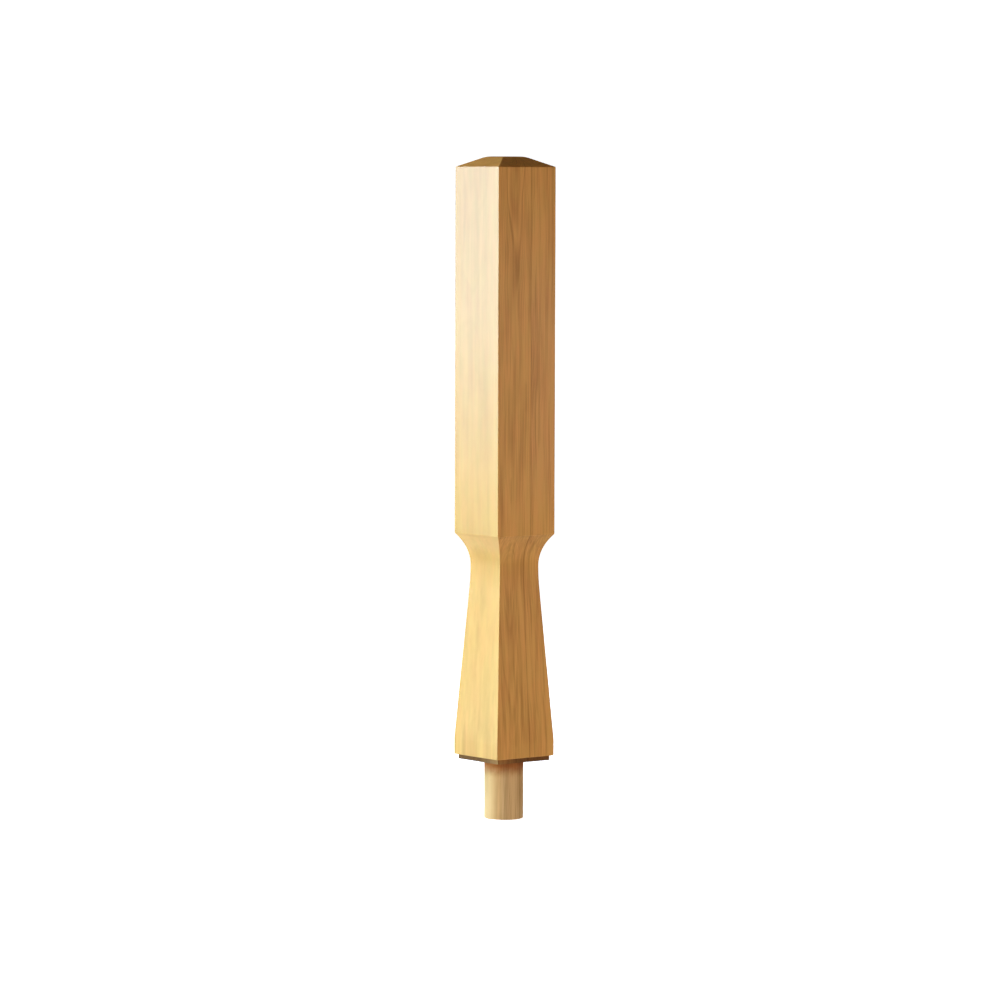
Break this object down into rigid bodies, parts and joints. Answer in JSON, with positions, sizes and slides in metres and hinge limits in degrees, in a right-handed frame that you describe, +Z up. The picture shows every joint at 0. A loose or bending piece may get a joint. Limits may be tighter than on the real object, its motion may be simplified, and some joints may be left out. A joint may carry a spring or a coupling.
{
  "type": "newel post",
  "caption": "Square oak newel post with a low pyramid point, coved faces over a slender neck, a widening foot and a round spigot under its shoulder.",
  "frame": {"origin": "middle of the spigot's lower end, the lowest point of the post", "axes": "+Z up along the post; the four faces of the square body look along X and Y"},
  "size_m": [0.091, 0.091, 0.843],
  "materials": {
    "oak": "fine straight oak grain, sanded smooth, thin clear satin coat"
  },
  "bodies": {
    "root": {"newel_post": "oak"}
  },
  "joints": []
}
